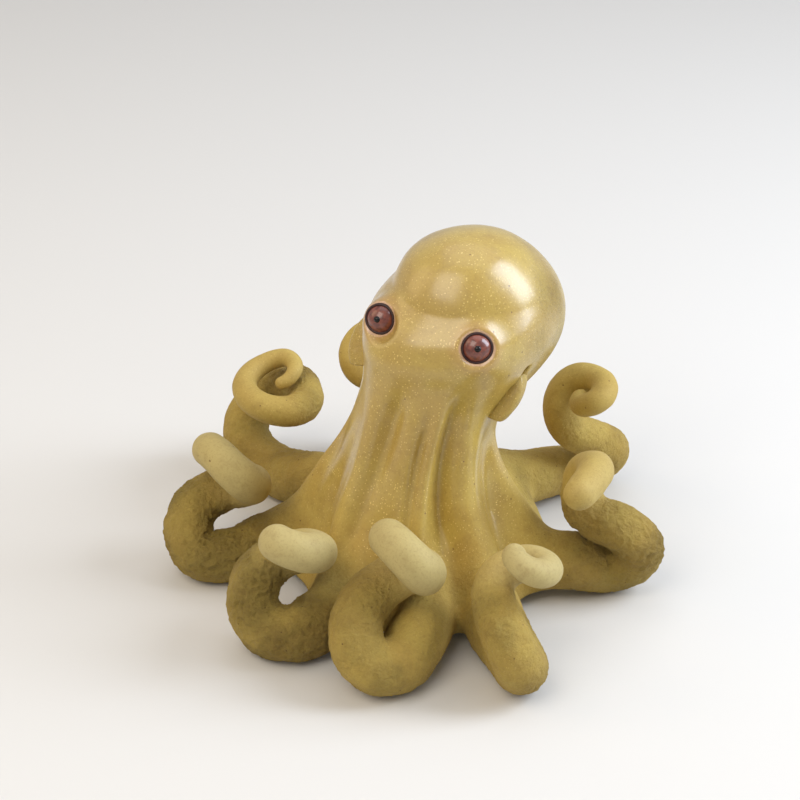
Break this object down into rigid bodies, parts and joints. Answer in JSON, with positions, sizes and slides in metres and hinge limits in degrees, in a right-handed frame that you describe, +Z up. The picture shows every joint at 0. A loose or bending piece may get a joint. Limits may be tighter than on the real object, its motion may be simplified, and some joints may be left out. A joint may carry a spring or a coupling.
{
  "type": "octopus figurine",
  "caption": "Small hand-modelled clay octopus with a raised head, big set-in eyes, a webbed bell and curling arms that it stands on.",
  "frame": {"origin": "centre of the footprint box on the table, at height zero", "axes": "+Z up; the face looks along -Y, the mantle leans back along +Y and +X"},
  "size_m": [0.1008, 0.0962, 0.0718],
  "materials": {
    "clay": "unglazed yellow-tan stoneware, matt with mica specks",
    "eye": "red-brown clay, polished",
    "eye_rim": "dark brown slip, matt",
    "pupil": "black, glossy"
  },
  "bodies": {
    "root": {"head_skirt": "clay", "mantle": "clay", "arm_1": "clay", "arm_2": "clay", "arm_3": "clay", "arm_4": "clay", "arm_5": "clay", "arm_6": "clay", "arm_7": "clay", "arm_8": "clay", "gill_flap_left": "clay", "gill_flap_right": "clay", "eye_ball_left": "eye", "eye_ball_right": "eye", "eye_rim_left": "eye_rim", "eye_rim_right": "eye_rim", "pupil_left": "pupil", "pupil_right": "pupil"}
  },
  "joints": []
}
